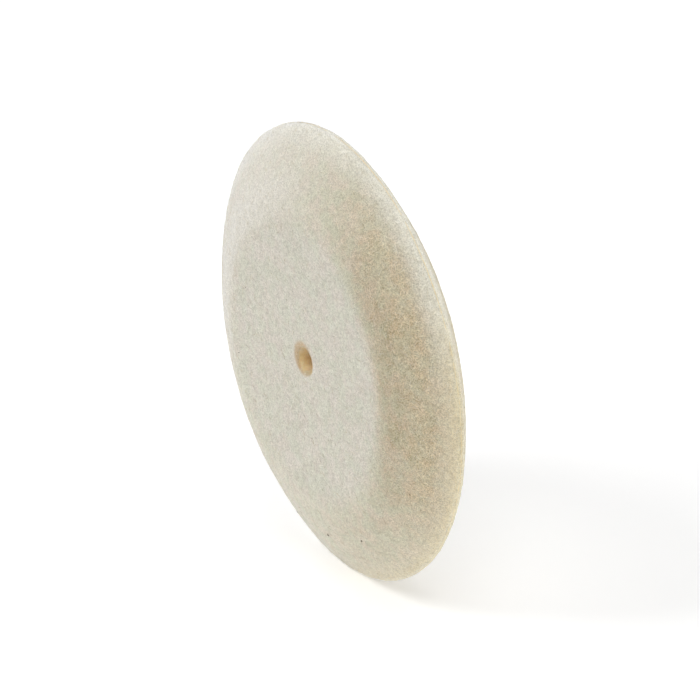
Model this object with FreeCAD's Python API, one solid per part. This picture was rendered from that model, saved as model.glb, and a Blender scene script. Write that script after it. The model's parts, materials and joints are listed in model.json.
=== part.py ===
"""Double-bevelled felt polishing wheel: two pressed-felt plies bonded back to back.

The wheel spins about Y. The origin is its centre, the front face looks along -Y and +Z is up.
All sizes are in millimetres.
"""

import FreeCAD, Part
import math
import os

# Driving dimensions
WHEEL_DIAMETER = 101.6  # 4 in
WHEEL_THICKNESS = 19.05  # 3/4 in
BORE_DIAMETER = 6.35  # 1/4 in pin hole
FLAT_DIAMETER = 61.4  # flat face, out to where it starts to turn down
CREASE_ROUNDING = 18.0  # radius of the soft turn from the face to the bevel
BEVEL_CROWN = 72.0  # radius of the bevel's slight bulge
RIM_ROUNDING = 1.2  # radius of the blunt knife edge
MOUTH_ROUNDING = 0.55  # radius of the soft mouth of the pin hole
BOND_THICKNESS = 0.25  # adhesive film between the plies

WHEEL_RADIUS = WHEEL_DIAMETER / 2
BORE_RADIUS = BORE_DIAMETER / 2
FACE_HEIGHT = WHEEL_THICKNESS / 2  # from the mid-plane to a face
BOND_HEIGHT = BOND_THICKNESS / 2  # from the mid-plane to the inner side of a ply

# Centres of the roundings in the half section, as (radius, height above the mid-plane)
CREASE_CENTRE = (FLAT_DIAMETER / 2, FACE_HEIGHT - CREASE_ROUNDING)
RIM_CENTRE = (WHEEL_RADIUS - RIM_ROUNDING, 0)
MOUTH_CENTRE = (BORE_RADIUS + MOUTH_ROUNDING, FACE_HEIGHT - MOUTH_ROUNDING)


def bevel_centre():
    """Centre of the bevel's arc, which runs smoothly into the crease's arc and the rim's arc.

    It is BEVEL_CROWN less each rounding away from that rounding's own centre.
    """
    across = RIM_CENTRE[0] - CREASE_CENTRE[0]
    up = RIM_CENTRE[1] - CREASE_CENTRE[1]
    gap = math.hypot(across, up)
    to_crease = BEVEL_CROWN - CREASE_ROUNDING
    to_rim = BEVEL_CROWN - RIM_ROUNDING
    corner = math.acos((gap**2 + to_crease**2 - to_rim**2) / (2 * gap * to_crease))
    heading = math.atan2(up, across) - corner
    return (
        CREASE_CENTRE[0] + to_crease * math.cos(heading),
        CREASE_CENTRE[1] + to_crease * math.sin(heading),
    )


def slope_towards(centre, rounding_centre):
    """Slope to the face where an arc about centre meets the rounding about rounding_centre."""
    return math.atan2(rounding_centre[0] - centre[0], rounding_centre[1] - centre[1])


def revolve_profile(edges):
    """One solid from a closed profile in the XY plane, turned round the Y axis."""
    face = Part.Face(Part.Wire(edges))
    return face.revolve(FreeCAD.Vector(0, 0, 0), FreeCAD.Vector(0, 1, 0), 360)


def line(start, end):
    return Part.makeLine(start, end)


def arc(start, middle, end):
    return Part.Arc(start, middle, end).toShape()


def ply_profile(side):
    """Half section of one ply. side is -1 for the front ply and +1 for the back ply."""

    def on_circle(centre, rounding, start, end):
        """Three points of an arc. Angles are counted from the face's outward normal."""
        points = []
        for angle in (start, (start + end) / 2, end):
            radius = centre[0] + rounding * math.sin(angle)
            height = centre[1] + rounding * math.cos(angle)
            points.append(FreeCAD.Vector(radius, side * height, 0))
        return points

    centre = bevel_centre()
    slope_at_rim = slope_towards(centre, RIM_CENTRE)
    slope_at_crease = slope_towards(centre, CREASE_CENTRE)
    bond_angle = math.acos(BOND_HEIGHT / RIM_ROUNDING)

    rim = on_circle(RIM_CENTRE, RIM_ROUNDING, bond_angle, slope_at_rim)
    bevel = on_circle(centre, BEVEL_CROWN, slope_at_rim, slope_at_crease)
    crease = on_circle(CREASE_CENTRE, CREASE_ROUNDING, slope_at_crease, 0)
    mouth = on_circle(MOUTH_CENTRE, MOUTH_ROUNDING, 0, -math.pi / 2)
    bond_at_bore = FreeCAD.Vector(BORE_RADIUS, side * BOND_HEIGHT, 0)
    return [
        line(bond_at_bore, rim[0]),
        arc(*rim),
        arc(*bevel),
        arc(*crease),
        line(crease[2], mouth[0]),
        arc(*mouth),
        line(mouth[2], bond_at_bore),
    ]


def bond_profile():
    """Half section of the adhesive film, flush with both plies at the rim and in the hole."""
    rim = RIM_CENTRE[0] + math.sqrt(RIM_ROUNDING**2 - BOND_HEIGHT**2)
    inner_front = FreeCAD.Vector(BORE_RADIUS, -BOND_HEIGHT, 0)
    inner_back = FreeCAD.Vector(BORE_RADIUS, BOND_HEIGHT, 0)
    outer_front = FreeCAD.Vector(rim, -BOND_HEIGHT, 0)
    outer_back = FreeCAD.Vector(rim, BOND_HEIGHT, 0)
    outer_middle = FreeCAD.Vector(WHEEL_RADIUS, 0, 0)
    return [
        line(inner_front, outer_front),
        arc(outer_front, outer_middle, outer_back),
        line(outer_back, inner_back),
        line(inner_back, inner_front),
    ]


def write(node, edges):
    solid = revolve_profile(edges)
    solid.exportStep(f"parts/{node}.step")
    print(f"{node}: {solid.Volume / 1000:.2f} cm3, valid {solid.isValid()}, {solid.ShapeType}")


os.makedirs("parts", exist_ok=True)
write("front_felt_ply", ply_profile(-1))
write("back_felt_ply", ply_profile(1))
write("bond_film", bond_profile())
for place, rounding_centre in (("crease", CREASE_CENTRE), ("rim", RIM_CENTRE)):
    slope = slope_towards(bevel_centre(), rounding_centre)
    print(f"slope of the bevel at the {place}: {math.degrees(slope):.2f} degrees")
print(f"straight wall of the pin hole: {WHEEL_THICKNESS - 2 * MOUTH_ROUNDING:.2f} mm")
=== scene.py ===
"""Looks of a felt polishing wheel: pressed wool felt, bevelled to a blunt knife edge, with a pin hole.

The wheel stands on its rim and spins about Y. Its front face looks along -Y. All sizes are in metres.
"""

import json
import math
import random

import bpy
import numpy as np
from mathutils import Matrix, Vector, noise
from mathutils.bvhtree import BVHTree


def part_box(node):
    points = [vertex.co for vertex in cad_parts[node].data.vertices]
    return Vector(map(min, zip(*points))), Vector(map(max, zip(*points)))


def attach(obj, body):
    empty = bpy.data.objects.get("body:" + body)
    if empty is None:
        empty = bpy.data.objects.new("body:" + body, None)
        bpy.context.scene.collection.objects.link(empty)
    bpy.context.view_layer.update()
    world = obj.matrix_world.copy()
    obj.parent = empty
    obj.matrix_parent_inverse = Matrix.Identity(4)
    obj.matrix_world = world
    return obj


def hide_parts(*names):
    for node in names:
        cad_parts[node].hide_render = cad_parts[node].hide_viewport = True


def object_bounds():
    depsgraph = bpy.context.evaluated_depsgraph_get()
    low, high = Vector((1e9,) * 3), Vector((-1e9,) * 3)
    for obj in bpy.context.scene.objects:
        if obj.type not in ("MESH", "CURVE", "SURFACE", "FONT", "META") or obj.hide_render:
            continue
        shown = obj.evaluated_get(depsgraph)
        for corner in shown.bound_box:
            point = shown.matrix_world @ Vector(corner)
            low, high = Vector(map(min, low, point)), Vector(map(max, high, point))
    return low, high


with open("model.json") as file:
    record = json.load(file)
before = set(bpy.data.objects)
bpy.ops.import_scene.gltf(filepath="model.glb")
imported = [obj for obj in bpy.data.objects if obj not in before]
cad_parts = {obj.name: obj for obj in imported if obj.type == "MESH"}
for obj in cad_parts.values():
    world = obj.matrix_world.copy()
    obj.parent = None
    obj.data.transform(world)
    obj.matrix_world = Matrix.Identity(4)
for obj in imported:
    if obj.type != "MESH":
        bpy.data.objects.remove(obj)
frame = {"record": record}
cad_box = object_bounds()

MM = 0.001

# Sizes from the frame
WHEEL_LOW, WHEEL_HIGH = (Vector(corner) for corner in cad_box)
FILM_LOW, FILM_HIGH = (Vector(corner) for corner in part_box("bond_film"))
MOUNTS = {mount["name"]: mount for mount in frame["record"]["mounts"]}
WHEEL_RADIUS = (WHEEL_HIGH.x - WHEEL_LOW.x) / 2
FACE_HEIGHT = (WHEEL_HIGH.y - WHEEL_LOW.y) / 2
FILM_HEIGHT = (FILM_HIGH.y - FILM_LOW.y) / 2
BORE_RADIUS = MOUNTS["arbor_bore"]["dims"]["r_mm"] * MM
MOUTH_ROUNDING = FACE_HEIGHT - MOUNTS["arbor_bore"]["dims"]["length_mm"] * MM / 2
FLAT_RADIUS = 30.7 * MM  # where the face starts to turn down
CREASE_ROUNDING = 18.0 * MM
BEVEL_CROWN = 72.0 * MM  # radius of the bevel's slight bulge
RIM_ROUNDING = 1.2 * MM
PRESSED_RADIUS = FLAT_RADIUS - 3 * MM  # up to here the felt keeps its smooth pressed skin
GROUND_RADIUS = FLAT_RADIUS + 5 * MM  # from here outwards that skin is ground away
GLOW_RADIUS = FLAT_RADIUS + 14 * MM  # from here outwards the felt gets pale and even: a painted glow towards the rim, and the painted shade fades out

# Centres of the roundings in the half section, as (radius, height above the mid-plane)
CREASE_CENTRE = (FLAT_RADIUS, FACE_HEIGHT - CREASE_ROUNDING)
RIM_CENTRE = (WHEEL_RADIUS - RIM_ROUNDING, 0.0)
MOUTH_CENTRE = (BORE_RADIUS + MOUTH_ROUNDING, FACE_HEIGHT - MOUTH_ROUNDING)

# The picture: the camera's direction, what the picture spans at the wheel, and where it aims
VIEW_AZIMUTH, VIEW_ELEVATION = 60.0, 27.5  # degrees
VIEW_DISTANCE = 4.0
PICTURE_WIDTH = 150.8 * MM
AIM_RIGHT, AIM_UP = 1.55 * MM, 0.32 * MM

# Spacing of the points along the sections and round the rings
SURFACE_STEP = 0.44 * MM
RIM_STEP = SURFACE_STEP / 2
MOUTH_STEP = MOUTH_ROUNDING / 4
BORE_STEP = 0.30 * MM
FILM_STEP = 0.6 * MM
FEWEST_SIDES = 48  # points in the smallest rings

# Unevenness of the felt: wavelength, then how far it moves the pressed faces and the ground bevel
RELIEF = (
    (22 * MM, 0.10 * MM, 0.16 * MM),
    (7 * MM, 0.05 * MM, 0.07 * MM),
    (2.6 * MM, 0.028 * MM, 0.055 * MM),
    (1.3 * MM, 0.018 * MM, 0.050 * MM),
)
SEAM_DEPTH, SEAM_WIDTH = 0.12 * MM, 0.30 * MM  # shallow groove at the knife edge, where the plies meet

# The adhesive film's edge
FILM_PROUD = 0.03 * MM  # how far it stands out of the groove's floor
FILM_EDGE_SHARE = 0.6  # its thickness at the very edge, as a share of the film's
FILM_EDGE_SLOPE = math.pi / 6  # from straight outwards to its corners' normals


# ---------------------------------------------------------------- directions and the camera

def direction(azimuth, elevation):
    """Unit vector from the wheel towards that side. Azimuth 0 is the front, -Y, and 90 is +X."""
    a, e = math.radians(azimuth), math.radians(elevation)
    return Vector((math.sin(a) * math.cos(e), -math.cos(a) * math.cos(e), math.sin(e)))


def aim(obj, place, target):
    """Puts a camera or lamp at place, looking at target, with its top up."""
    obj.location = place
    obj.rotation_euler = (target - place).to_track_quat("-Z", "Y").to_euler()


def make_camera():
    data = bpy.data.cameras.new("camera")
    data.sensor_width = 36.0
    data.lens = data.sensor_width * VIEW_DISTANCE / PICTURE_WIDTH
    camera = bpy.data.objects.new("camera", data)
    bpy.context.scene.collection.objects.link(camera)
    back = direction(VIEW_AZIMUTH, VIEW_ELEVATION)
    right = Vector((0, 0, 1)).cross(back).normalized()
    up = back.cross(right)
    target = right * AIM_RIGHT + up * AIM_UP
    aim(camera, target + back * VIEW_DISTANCE, target)
    bpy.context.scene.camera = camera


# ---------------------------------------------------------------- the wheel's section

def bevel_centre():
    """Centre of the bevel's arc, which runs smoothly into the crease's arc and the rim's arc."""
    across = RIM_CENTRE[0] - CREASE_CENTRE[0]
    up = RIM_CENTRE[1] - CREASE_CENTRE[1]
    gap = math.hypot(across, up)
    to_crease = BEVEL_CROWN - CREASE_ROUNDING
    to_rim = BEVEL_CROWN - RIM_ROUNDING
    corner = math.acos((gap**2 + to_crease**2 - to_rim**2) / (2 * gap * to_crease))
    heading = math.atan2(up, across) - corner
    return (
        CREASE_CENTRE[0] + to_crease * math.cos(heading),
        CREASE_CENTRE[1] + to_crease * math.sin(heading),
    )


def slope_towards(centre, rounding_centre):
    """Slope to the face where an arc about centre meets the rounding about rounding_centre."""
    return math.atan2(rounding_centre[0] - centre[0], rounding_centre[1] - centre[1])


def arc_points(centre, rounding, start, end, step):
    """Points along an arc, as (radius, height, angle of the normal from the face's normal)."""
    count = max(2, round(abs(end - start) * rounding / step))
    points = []
    for i in range(count + 1):
        angle = start + (end - start) * i / count
        radius = centre[0] + rounding * math.sin(angle)
        points.append((radius, centre[1] + rounding * math.cos(angle), angle))
    return points


def line_points(start, end, angle, step):
    """Evenly spaced points strictly between start and end, which all have the same normal."""
    count = max(1, round(math.dist(start, end) / step))
    points = []
    for i in range(1, count):
        share = i / count
        radius = start[0] + (end[0] - start[0]) * share
        points.append((radius, start[1] + (end[1] - start[1]) * share, angle))
    return points


def half_section():
    """The front half of the section, from the middle of the pin hole out to the knife edge."""
    centre = bevel_centre()
    at_crease = slope_towards(centre, CREASE_CENTRE)
    at_rim = slope_towards(centre, RIM_CENTRE)
    mouth = arc_points(MOUTH_CENTRE, MOUTH_ROUNDING, -math.pi / 2, 0, MOUTH_STEP)
    crease = arc_points(CREASE_CENTRE, CREASE_ROUNDING, 0, at_crease, SURFACE_STEP)
    bevel = arc_points(centre, BEVEL_CROWN, at_crease, at_rim, SURFACE_STEP)
    rim = arc_points(RIM_CENTRE, RIM_ROUNDING, at_rim, math.pi / 2, RIM_STEP)
    middle = (BORE_RADIUS, 0, -math.pi / 2)
    wall = line_points(middle, mouth[0], -math.pi / 2, BORE_STEP)
    face = line_points(mouth[-1], crease[0], 0, SURFACE_STEP)
    return [middle] + wall + mouth + face + crease + bevel[1:] + rim[1:]


def full_section():
    """The whole section as a closed run of (radius, y, normal's radial part, normal's y part)."""
    half = half_section()
    front = [(r, -h, math.sin(a), -math.cos(a)) for r, h, a in half]
    back = [(r, h, math.sin(a), math.cos(a)) for r, h, a in half]
    return front + back[-2:0:-1]


# ---------------------------------------------------------------- felt body and adhesive film

def smooth(low, high, value):
    """0 up to low and 1 from high, with a soft rise between them."""
    share = min(1.0, max(0.0, (value - low) / (high - low)))
    return share * share * (3 - 2 * share)


def relief(point, radius):
    """How far the felt's surface stands out of its ideal shape at a point."""
    ground = smooth(PRESSED_RADIUS, GROUND_RADIUS, radius)
    at_rim = smooth(WHEEL_RADIUS - RIM_ROUNDING, WHEEL_RADIUS, radius)
    total = -SEAM_DEPTH * at_rim * math.exp(-((point.y / SEAM_WIDTH) ** 2))
    for wavelength, on_face, on_bevel in RELIEF:
        size = on_face + (on_bevel - on_face) * ground
        apart = Vector((wavelength * 9e4, 3.7, 1.9))  # any shift that keeps the waves unlike each other
        total += size * noise.noise(point / wavelength + apart)
    return total


def stitch(faces, a_start, a_count, b_start, b_count):
    """Triangles between two rings that each have their own number of points."""
    a = b = 0
    while a < a_count or b < b_count:
        near, far = a_start + a % a_count, b_start + b % b_count
        if b == b_count or (a < a_count and (a + 1) * b_count <= (b + 1) * a_count):
            a += 1
            faces.append((near, far, a_start + a % a_count))
        else:
            b += 1
            faces.append((near, far, b_start + b % b_count))


def mesh_piece(name, vertices, faces):
    mesh = bpy.data.meshes.new(name)
    mesh.from_pydata(vertices, [], faces)
    mesh.validate()
    mesh.shade_smooth()
    piece = bpy.data.objects.new(name, mesh)
    bpy.context.scene.collection.objects.link(piece)
    return piece


def turned(section, step, name, shape):
    """A closed ring of felt or film from a closed section. shape moves each point along its normal."""
    vertices, faces, rings = [], [], []
    for radius, y, out, along in section:
        count = max(FEWEST_SIDES, round(2 * math.pi * radius / step))
        rings.append((len(vertices), count))
        for i in range(count):
            angle = 2 * math.pi * i / count
            away = Vector((math.cos(angle), 0, math.sin(angle)))
            point = away * radius + Vector((0, y, 0))
            normal = away * out + Vector((0, along, 0))
            vertices.append(point + normal * shape(point, radius))
    for (a_start, a_count), (b_start, b_count) in zip(rings, rings[1:] + rings[:1]):
        stitch(faces, a_start, a_count, b_start, b_count)
    return mesh_piece(name, vertices, faces)


def make_felt():
    felt = turned(full_section(), SURFACE_STEP, "felt_body", relief)
    felt.data.materials.append(felt_material())
    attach(felt, "root")
    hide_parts("front_felt_ply", "back_felt_ply")
    return felt


def make_film():
    """The adhesive film between the plies, whose edge shows in the groove and in the pin hole."""
    inner = BORE_RADIUS - FILM_PROUD
    outer = WHEEL_RADIUS - SEAM_DEPTH + FILM_PROUD
    edge_height = FILM_HEIGHT * FILM_EDGE_SHARE
    out, along = math.cos(FILM_EDGE_SLOPE), -math.sin(FILM_EDGE_SLOPE)
    section = [
        (inner, -edge_height, -out, along),
        (inner + FILM_PROUD, -FILM_HEIGHT, 0, -1),
        (outer - 2 * FILM_PROUD, -FILM_HEIGHT, 0, -1),
        (outer, -edge_height, out, along),
    ]
    section += [(radius, -y, out, -along) for radius, y, out, along in reversed(section)]

    def follow(point, radius):
        """Keeps the film's edges in step with the felt's unevenness, and its sides flat."""
        at_edge = radius in (inner, outer)
        return relief(point, BORE_RADIUS) * at_edge

    film = turned(section, FILM_STEP, "bond_film_edge", follow)
    film.data.materials.append(film_material())
    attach(film, "root")
    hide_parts("bond_film")


# ---------------------------------------------------------------- loose wool and bits of straw

STRAND_STEPS = 6  # straight stretches in a strand
STRAND_SINK = 0.025 * MM  # how deep its ends go into the felt
STRAND_THICKNESS = (0.025 * MM, 0.045 * MM)
LENGTH_SPREAD = (0.5, 1.4)  # shares of a kind's length and rise that its strands have
RISE_SPREAD = (0.3, 1.6)
TONE_SHARES = (0.50, 0.38, 0.115, 0.005)  # pale, cream, tan and brown wool
TIP_SHARE = 0.3  # thickness of a strand's tips, as a share of its own
TAPER = 3.0  # how steeply it thickens from there, in its own thickness per length of strand
LOOSE_LIFT = 1.5  # over 1, so a loose strand stays low at first and then rises

# Kinds of loose fibre: length, rise, curl and the share that end in the air
LAID = (2.1 * MM, 0.05 * MM, 0.40, 0.06)
RIM_FUZZ = (1.6 * MM, 0.12 * MM, 0.5, 0.35)
HOLE_FUZZ = (1.6 * MM, 0.25 * MM, 0.5, 0.5)

OFF_SEAM, NEAR_SEAM = 1.5 * MM, 2.0 * MM  # distances from the mid-plane, where the plies meet
# Loose fibres: piece, count, kind, and where they grow, by their radius and their y
WOOL = (
    ("front_face_fibres", 2700, LAID, lambda r, y: y < -OFF_SEAM and BORE_RADIUS < r <= FLAT_RADIUS),
    ("front_bevel_fibres", 5200, LAID, lambda r, y: y < -OFF_SEAM and r > FLAT_RADIUS),
    ("back_face_fibres", 2700, LAID, lambda r, y: y > OFF_SEAM and BORE_RADIUS < r <= FLAT_RADIUS),
    ("back_bevel_fibres", 5200, LAID, lambda r, y: y > OFF_SEAM and r > FLAT_RADIUS),
    ("rim_fuzz", 3600, RIM_FUZZ, lambda r, y: abs(y) <= NEAR_SEAM and r > FLAT_RADIUS),
    ("pin_hole_fuzz", 420, HOLE_FUZZ, lambda r, y: r < BORE_RADIUS + MOUTH_ROUNDING),
)

# Bits of straw in the wool: side of the wheel, distance from the centre, angle from the bottom
FLECK_RADIUS = 40.7 * MM
FLECKS = ((-1, FLECK_RADIUS, 7.0), (-1, FLECK_RADIUS, 29.0))
FLECK_LENGTH = (0.5 * MM, 0.8 * MM)
FLECK_THICKNESS = (0.28 * MM, 0.42 * MM)
FLECK_RISE, FLECK_CURL, FLECK_SIDES = 0.02 * MM, 0.1, 7
STRAY_FLECKS = 10  # more of them, anywhere between these distances from the centre
STRAY_RADII = (12 * MM, 48 * MM)
STRAY_SIZE = 0.6  # their size, as a share of the others'


class Surface:
    """The finished felt, to lay strands on."""

    def __init__(self, piece):
        mesh = piece.data
        self.tree = BVHTree.FromPolygons(
            [v.co for v in mesh.vertices], [p.vertices for p in mesh.polygons]
        )
        self.centres = [p.center.copy() for p in mesh.polygons]

    def places(self, wanted, count, dice):
        """Random places on the felt where wanted(radius, y) is true."""
        fits = [c for c in self.centres if wanted(math.hypot(c.x, c.z), c.y)]
        return [dice.choice(fits) for _ in range(count)]

    def strand(self, place, dice, length, rise, curl, loose):
        """Points of one strand along the felt. A loose one ends in the air, another goes back in."""
        place, normal, _, _ = self.tree.find_nearest(place)
        heading = normal.orthogonal().normalized()
        heading.rotate(Matrix.Rotation(dice.uniform(0, 2 * math.pi), 3, normal))
        bend = dice.gauss(0, curl)
        points = []
        for i in range(STRAND_STEPS + 1):
            share = i / STRAND_STEPS
            lift = share ** LOOSE_LIFT if loose else math.sin(math.pi * share)
            points.append(place + normal * (rise * lift - STRAND_SINK))
            heading.rotate(Matrix.Rotation(bend + dice.gauss(0, curl), 3, normal))
            place, normal, _, _ = self.tree.find_nearest(place + heading * (length / STRAND_STEPS))
            heading = (heading - normal * heading.dot(normal)).normalized()
        return points


def tubes(name, strands, thicknesses, tones, materials, sides=3):
    """One mesh of thin closed tubes, one along each strand, with tapered ends.

    tones says which of the materials each tube has. Nothing goes below the wheel's lowest point.
    """
    paths = np.array([[tuple(point) for point in strand] for strand in strands])
    count, steps, _ = paths.shape
    paths[:, :, 2] = np.maximum(paths[:, :, 2], WHEEL_LOW.z + np.array(thicknesses)[:, None] / 2)
    along = np.gradient(paths, axis=1)
    along /= np.linalg.norm(along, axis=2, keepdims=True)
    away = paths * (1, 0, 1) + (0, 0, 1e-4)  # from the axle, and never zero
    side = np.cross(along, away)
    side /= np.linalg.norm(side, axis=2, keepdims=True)
    top = np.cross(along, side)
    from_tip = np.minimum(np.linspace(0, 1, steps), np.linspace(1, 0, steps))
    taper = np.minimum(1, TIP_SHARE + TAPER * from_tip)
    radius = np.array(thicknesses)[:, None, None] / 2 * taper[None, :, None]
    corners = []
    for corner in range(sides):
        angle = 2 * math.pi * corner / sides
        corners.append(paths + radius * (math.cos(angle) * side + math.sin(angle) * top))
    vertices = np.stack(corners, axis=2).reshape(-1, 3)

    start = (np.arange(count) * steps * sides)[:, None, None]
    ring = (np.arange(steps - 1) * sides)[None, :, None]
    a, b = np.arange(sides), (np.arange(sides) + 1) % sides
    quads = np.stack([start + ring + c for c in (a, b, b + sides, a + sides)], axis=3)
    ends = [start[:, 0] + a[None, ::-1], start[:, 0] + (steps - 1) * sides + a[None, :]]
    faces = quads.reshape(-1, 4).tolist() + np.concatenate(ends).tolist()
    piece = mesh_piece(name, vertices.tolist(), faces)
    for material in materials:
        piece.data.materials.append(material)
    per_quads = np.repeat(tones, (steps - 1) * sides)
    piece.data.polygons.foreach_set("material_index", np.concatenate([per_quads, tones, tones]))
    return piece


def make_wool(surface):
    tones = [fibre_material(name, colour) for name, colour in FIBRE_TONES]
    for name, count, (length, rise, curl, loose_share), wanted in WOOL:
        dice = random.Random(name)
        strands = []
        for place in surface.places(wanted, count, dice):
            size = length * dice.uniform(*LENGTH_SPREAD)
            loose = dice.random() < loose_share
            height = rise * dice.uniform(*RISE_SPREAD)
            strands.append(surface.strand(place, dice, size, height, curl, loose))
        thick = [dice.uniform(*STRAND_THICKNESS) for _ in strands]
        tone = dice.choices(range(len(tones)), TONE_SHARES, k=count)
        piece = tubes(name, strands, thick, tone, tones)
        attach(piece, "root")


def make_flecks(surface):
    """Dark bits of straw pressed into the felt."""
    dice = random.Random("flecks")
    spots = [(*fleck, 1.0) for fleck in FLECKS]
    for _ in range(STRAY_FLECKS):
        side, radius, angle = dice.choice((-1, 1)), dice.uniform(*STRAY_RADII), dice.uniform(0, 360)
        spots.append((side, radius, angle, STRAY_SIZE))
    strands, thick = [], []
    for side, radius, angle, share in spots:
        turn = math.radians(angle)
        above = Vector((radius * math.sin(turn), 2 * side * FACE_HEIGHT, -radius * math.cos(turn)))
        place = surface.tree.ray_cast(above, Vector((0, -side, 0)))[0]
        size = share * dice.uniform(*FLECK_LENGTH)
        strands.append(surface.strand(place, dice, size, FLECK_RISE, FLECK_CURL, False))
        thick.append(share * dice.uniform(*FLECK_THICKNESS))
    tones = [0] * len(strands)
    piece = tubes("straw_flecks", strands, thick, tones, [straw_material()], FLECK_SIDES)
    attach(piece, "root")


# ---------------------------------------------------------------- materials

class Nodes:
    """A small helper that adds nodes to a material and links them."""

    def __init__(self, name):
        self.material = bpy.data.materials.new(name)
        self.material.use_nodes = True
        self.tree = self.material.node_tree
        self.shader = self.tree.nodes["Principled BSDF"]
        self.place = self.add("TexCoord").outputs["Object"]

    def add(self, kind, links=(), **settings):
        node = self.tree.nodes.new("ShaderNode" + kind)
        for key, value in settings.items():
            setattr(node, key, value)
        for socket, value in links:
            self.put(node.inputs[socket], value)
        return node

    def put(self, socket, value):
        """Links a node's output to a socket, or sets the socket to a plain value."""
        if isinstance(value, bpy.types.NodeSocket):
            self.tree.links.new(value, socket)
        else:
            socket.default_value = value

    def shade(self, **values):
        """Sets sockets of the shader, whose names have _ for each space."""
        for name, value in values.items():
            self.put(self.shader.inputs[name.replace("_", " ")], value)

    def math(self, operation, first, second=0.0):
        return self.add("Math", [(0, first), (1, second)], operation=operation).outputs[0]

    def product(self, first, *others):
        for other in others:
            first = self.math("MULTIPLY", first, other)
        return first

    def vector(self, operation, first, second):
        return self.add("VectorMath", [(0, first), (1, second)], operation=operation).outputs[0]

    def length(self, vector):
        return self.add("VectorMath", [(0, vector)], operation="LENGTH").outputs["Value"]

    def towards(self, side, low, high):
        """0 up to low from the wheel's middle towards that side, and 1 from high outwards."""
        across = self.add("VectorMath", [(0, self.place), (1, side)], operation="DOT_PRODUCT")
        return self.map(across.outputs["Value"], low, high)

    def noise(self, place, scale, detail=3.0, roughness=0.55, distortion=0.0):
        links = [("Vector", place), ("Scale", scale), ("Detail", detail)]
        links += [("Roughness", roughness), ("Distortion", distortion)]
        return self.add("TexNoise", links).outputs[0]

    def map(self, value, low, high, to_low=0.0, to_high=1.0):
        links = [(0, value), (1, low), (2, high), (3, to_low), (4, to_high)]
        return self.add("MapRange", links, interpolation_type="SMOOTHSTEP").outputs[0]

    def mix(self, share, first, second, blend="MIX"):
        node = self.add("Mix", data_type="RGBA", blend_type=blend)
        for socket, value in ((0, share), (6, first), (7, second)):
            self.put(node.inputs[socket], value)
        return node.outputs[2]

    def bump(self, strength, distance, height):
        links = [("Strength", strength), ("Distance", distance), ("Height", height)]
        return self.add("Bump", links).outputs[0]


def rgb(red, green, blue):
    """A colour given as it shows on a screen, 0 to 255."""
    shares = (c / 255 for c in (red, green, blue))
    return tuple(((c + 0.055) / 1.055) ** 2.4 if c > 0.04045 else c / 12.92 for c in shares) + (1.0,)


# How fine the felt's patterns are, in noise cells per metre
BLOTCH_SCALE, CLOUD_SCALE, TUFT_SCALE, GRAIN_SCALE = 150, 260, 900, 3000
RIDGES = ((900, 0.0), (1500, 5.0), (2300, 9.0))  # each with a shift that sets it apart from the others
RIDGE_WIDTH = 0.05  # in units of the noise whose middle value the ridges follow
NOISE_SPAN, NARROW_SPAN = (0.3, 0.7), (0.35, 0.65)  # values of the noise that become 0 and 1

# How the patterns show: how high each stands in the bump, and how much the ridges pale the colour
RIDGE_RISE, GRAIN_RISE, TUFT_RISE = 0.4, 0.7, 0.6
BUMP_STRENGTH, BUMP_HEIGHT = 0.7, 0.07 * MM
RIDGE_TINT = 0.12

# Sides of the bevel, each with how far out towards it the painted shade or painted light starts and is
# full
SHADED_SIDE, SHADED_REACH = direction(90, 15), (12 * MM, 40 * MM)  # painted brown shade, and darker painted shade in its grain, so it looks rougher
LOWER_SIDE, LOWER_REACH = direction(90, -30), (15 * MM, 42 * MM)  # a little painted brown shade, and a warmer painted glow at its rim
LIT_SIDE, LIT_REACH = direction(-90, 30), (15 * MM, 32 * MM)  # painted light: whitest
LOWER_SHADE = 0.4  # how strong the painted brown shade is on the lower side, as a share of that on the side with the most painted shade
FAINTEST_SHADE = 0.55  # painted shade between the blotches, as a share of the painted shade in them
FADED_LIGHT = 0.4  # how much of the painted light on the lit side is left from the start of the painted rim glow outwards
SHOULDER = (FLAT_RADIUS - 1.5 * MM, FLAT_RADIUS + 3 * MM)  # where the ring of painted light starts

# Colours of the felt. The first of a pair is in the greenish clouds, the other in the pinkish ones.
PRESSED_FELT = (rgb(232, 231, 213), rgb(238, 230, 217))
# On the bevel the felt is a little warmer: painted warm shade
GROUND_FELT = (rgb(232, 230, 207), rgb(240, 229, 211))
# Painted brown shade on one side of the bevel, lighter further out
SHADE_BROWN_FELT = (rgb(211, 204, 169), rgb(221, 198, 161))
LIGHT_SHADE_BROWN_FELT = (rgb(239, 230, 199), rgb(248, 228, 192))
# Painted light on the lit side of the bevel
PAINTED_LIGHT_FELT = rgb(247, 242, 229)
# Painted glow at the rim, warmer on the lower side
RIM_GLOW_FELT, WARM_RIM_GLOW_FELT = rgb(253, 250, 238), rgb(249, 237, 207)
RIDGE_FELT = rgb(250, 248, 238)
# Shades that darken the colour between the tufts and between the fibres, partly grain and partly
# painted shade between them: the first away from the painted brown shade, the second in it
TUFT_SHADES = (rgb(236, 235, 232), rgb(228, 223, 213))
GRAIN_SHADES = (rgb(206, 205, 201), rgb(178, 173, 163))

# Painted shade in the pin hole: a tan wall and a darker mouth, which spreads a little further over the
# face on one side
HOLE_MOUTH_SHADE, HOLE_WALL_SHADE = rgb(186, 160, 122), rgb(247, 224, 184)
HOLE_SHADE_SHIFT = (-0.5 * MM, 0, 0.5 * MM)  # from the hole's middle to the middle of the painted tan shade
TAN_RADIUS = BORE_RADIUS + MOUTH_ROUNDING
TAN_EDGE = (TAN_RADIUS - 0.4 * MM, TAN_RADIUS + 0.7 * MM)  # where the painted tan shade fades into the face
WALL_TOP = (FACE_HEIGHT - 0.7 * MM, FACE_HEIGHT - 0.2 * MM)  # where the mouth turns into the wall


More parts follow.
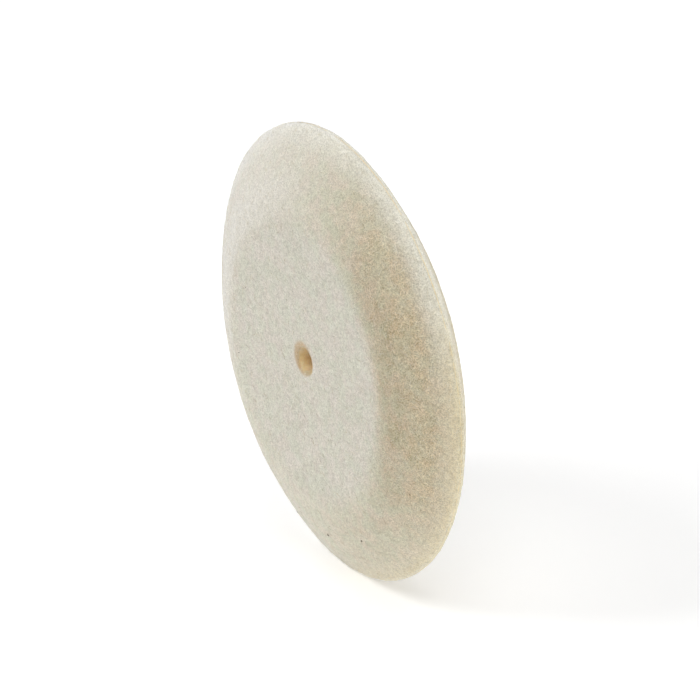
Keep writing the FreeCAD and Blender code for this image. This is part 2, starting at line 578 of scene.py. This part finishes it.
def matted_ridges(n):
    """Fibres matted into the surface: thin curly ridges, 1 along their middles and 0 between them."""
    ridges = 0.0
    for scale, shift in RIDGES:
        moved = n.vector("ADD", n.place, (shift, -shift, shift))
        off_middle = n.math("SUBTRACT", n.noise(moved, scale, 2, 0.5, 1.2), 0.5)
        line = n.map(n.math("ABSOLUTE", off_middle), 0.0, RIDGE_WIDTH, 1.0, 0.0)
        ridges = n.math("MAXIMUM", ridges, line)
    return ridges


def with_painted_hole_shade(n, base, flat):
    """The felt's colour with the pin hole's painted tan shade over it. flat is the place, seen along
    the axle.
    """
    from_shade_middle = n.length(n.vector("SUBTRACT", flat, HOLE_SHADE_SHIFT))
    in_hole = n.map(from_shade_middle, *TAN_EDGE, 1.0, 0.0)
    height = n.length(n.vector("MULTIPLY", n.place, (0, 1, 0)))
    on_wall = n.map(height, *WALL_TOP, 1.0, 0.0)
    return n.mix(in_hole, base, n.mix(on_wall, HOLE_MOUTH_SHADE, HOLE_WALL_SHADE))


def felt_material():
    n = Nodes("wool_felt")
    flat = n.vector("MULTIPLY", n.place, (1, 0, 1))  # the place, seen along the axle
    radius = n.length(flat)
    ground = n.map(radius, PRESSED_RADIUS, GROUND_RADIUS)
    at_rim = n.map(radius, GLOW_RADIUS, WHEEL_RADIUS)
    lower = n.towards(LOWER_SIDE, *LOWER_REACH)

    # Painted brown shade on one side of the bevel, in blotches
    side_shade = n.math("MAXIMUM", n.towards(SHADED_SIDE, *SHADED_REACH), n.product(lower, LOWER_SHADE))
    blotches = n.map(n.noise(n.place, BLOTCH_SCALE, 4, 0.65), *NOISE_SPAN, FAINTEST_SHADE, 1.0)
    painted_shade = n.product(ground, blotches, side_shade, n.math("SUBTRACT", 1.0, at_rim))

    # Colour: cream with faint green and pink clouds, warmer on the bevel as painted warm shade, with
    # the painted brown shade, and pale at the rim as a painted glow
    clouds = n.map(n.noise(n.place, CLOUD_SCALE, 4, 0.6), *NARROW_SPAN)
    unshaded = n.mix(ground, n.mix(clouds, *PRESSED_FELT), n.mix(clouds, *GROUND_FELT))
    outwards = n.map(radius, GROUND_RADIUS, GLOW_RADIUS)
    brown = n.mix(outwards, n.mix(clouds, *SHADE_BROWN_FELT), n.mix(clouds, *LIGHT_SHADE_BROWN_FELT))
    base = n.mix(painted_shade, unshaded, brown)

    # Painted light: the lit side is whitest, mostly just outside the flat face
    fading = n.map(radius, GROUND_RADIUS, GLOW_RADIUS, 1.0, FADED_LIGHT)
    painted_light = n.product(n.map(radius, *SHOULDER), fading, n.towards(LIT_SIDE, *LIT_REACH))
    base = n.mix(painted_light, base, PAINTED_LIGHT_FELT)
    # Painted glow: paler towards the rim, and warmer there on the lower side
    base = n.mix(at_rim, base, n.mix(lower, RIM_GLOW_FELT, WARM_RIM_GLOW_FELT))

    # Tufts and single fibres as light and dark grain, partly painted shade between them, stronger where
    # the painted brown shade is
    tufts = n.map(n.noise(n.place, TUFT_SCALE, 4, 0.7, 0.4), *NOISE_SPAN)
    grain = n.map(n.noise(n.place, GRAIN_SCALE, 3, 0.7, 0.3), *NOISE_SPAN)
    for pattern, shades in ((tufts, TUFT_SHADES), (grain, GRAIN_SHADES)):
        dark = n.mix(1.0, base, n.mix(painted_shade, *shades), "MULTIPLY")
        base = n.mix(pattern, dark, base)

    # Painted tan shade in the pin hole and at its mouth
    base = with_painted_hole_shade(n, base, flat)

    ridges = matted_ridges(n)
    rough = n.math("ADD", n.product(ridges, RIDGE_RISE), n.product(grain, GRAIN_RISE))
    rough = n.math("ADD", rough, n.product(tufts, TUFT_RISE))
    n.shade(
        Base_Color=n.mix(n.product(ridges, RIDGE_TINT), base, RIDGE_FELT),
        Normal=n.bump(BUMP_STRENGTH, BUMP_HEIGHT, rough),
        Roughness=n.map(grain, 0.0, 1.0, 0.85, 1.0),
        Specular_IOR_Level=0.2,
        Sheen_Weight=0.2,
        Sheen_Roughness=0.5,
        Subsurface_Weight=1.0,
        Subsurface_Scale=1.0 * MM,
        Subsurface_Radius=(3.8, 3.7, 3.5),
    )
    return n.material


FIBRE_TONES = (
    ("wool_fibre_pale", rgb(246, 244, 234)),
    ("wool_fibre_cream", rgb(238, 233, 217)),
    ("wool_fibre_tan", rgb(222, 208, 180)),
    ("wool_fibre_brown", rgb(158, 132, 98)),
)


def fibre_material(name, colour):
    """One tone of loose wool. The scales along a fibre show as uneven gloss."""
    n = Nodes(name)
    scales = n.noise(n.place, 4000, 2)
    n.shade(Base_Color=colour, Roughness=n.map(scales, *NOISE_SPAN, 0.6, 0.9), Specular_IOR_Level=0.25)
    return n.material


def straw_material():
    n = Nodes("straw")
    grain = n.map(n.noise(n.place, 3500, 3), *NOISE_SPAN)
    n.shade(
        Base_Color=n.mix(grain, rgb(86, 76, 60), rgb(120, 106, 84)),
        Roughness=n.map(grain, 0, 1, 0.6, 0.85),
    )
    return n.material


def film_material():
    """Dried adhesive, pale amber and uneven, with wool stuck in it."""
    n = Nodes("dried_adhesive")
    wool = n.map(n.noise(n.place, 1400, 4, 0.6), *NARROW_SPAN)
    n.shade(
        Base_Color=n.mix(wool, rgb(230, 211, 168), rgb(238, 226, 194)),
        Roughness=n.map(wool, 0, 1, 0.35, 0.8),
        Normal=n.bump(0.5, 0.04 * MM, wool),
    )
    return n.material


def floor_material():
    n = Nodes("studio_floor")
    n.shade(
        Base_Color=n.mix(n.noise(n.place, 3, 2), rgb(250, 250, 250), rgb(252, 252, 252)),
        Roughness=0.9,
        Specular_IOR_Level=0.1,
        Emission_Color=(1, 1, 1, 1),
        Emission_Strength=FLOOR_GLOW,
    )
    return n.material


# ---------------------------------------------------------------- studio

FLOOR_RADIUS, FLOOR_SIDES = 0.42, 96
FLOOR_GLOW = 0.2  # the floor gives off a little light, like a light table
LAMP_DISTANCE, LAMP_SIZE = 0.9, 0.5
WHITE, COOL, WARM = (1.0, 1.0, 1.0), (0.80, 0.82, 1.0), (1.0, 0.98, 0.86)
# Round soft boxes: name, azimuth, elevation, power in watts, colour
LAMPS = (
    ("front_key", -20, 40, 4.55, WHITE),
    ("front_right", 60, 40, 1.3, WHITE),
    ("left_side", -90, 8, 2.8, COOL),
    ("right_back", 115, 8, 2.6, WARM),
    ("top_right", 60, 75, 1.9, WHITE),
    ("top_back", 180, 75, 1.8, WHITE),
    ("back_high", 180, 40, 1.2, WHITE),
    ("back_low", 150, 8, 1.1, WHITE),
)


def make_floor():
    mesh = bpy.data.meshes.new("floor")
    turns = [2 * math.pi * i / FLOOR_SIDES for i in range(FLOOR_SIDES)]
    corners = [(FLOOR_RADIUS * math.cos(turn), FLOOR_RADIUS * math.sin(turn), 0) for turn in turns]
    mesh.from_pydata(corners, [], [range(FLOOR_SIDES)])
    mesh.materials.append(floor_material())
    floor = bpy.data.objects.new("floor", mesh)
    floor.location.z = WHEEL_LOW.z
    bpy.context.scene.collection.objects.link(floor)


def make_lamps():
    for name, azimuth, elevation, power, colour in LAMPS:
        data = bpy.data.lights.new(name, "AREA")
        data.shape = "DISK"
        data.size = LAMP_SIZE
        data.energy = power
        data.color = colour
        lamp = bpy.data.objects.new(name, data)
        lamp.visible_camera = False
        bpy.context.scene.collection.objects.link(lamp)
        aim(lamp, direction(azimuth, elevation) * LAMP_DISTANCE, Vector((0, 0, 0)))


def make_world():
    """A white backdrop that is only seen: the lamps and the floor give all the light."""
    world = bpy.data.worlds.new("studio")
    bpy.context.scene.world = world
    world.use_nodes = True
    background = world.node_tree.nodes["Background"]
    background.inputs["Color"].default_value = (1, 1, 1, 1)
    world.cycles_visibility.diffuse = False
    world.cycles_visibility.glossy = False
    world.cycles_visibility.transmission = False
    world.cycles_visibility.scatter = False
    bpy.context.scene.view_settings.view_transform = "Standard"


make_camera()
make_world()
make_floor()
make_lamps()
felt = make_felt()
make_film()
surface = Surface(felt)
make_wool(surface)
make_flecks(surface)
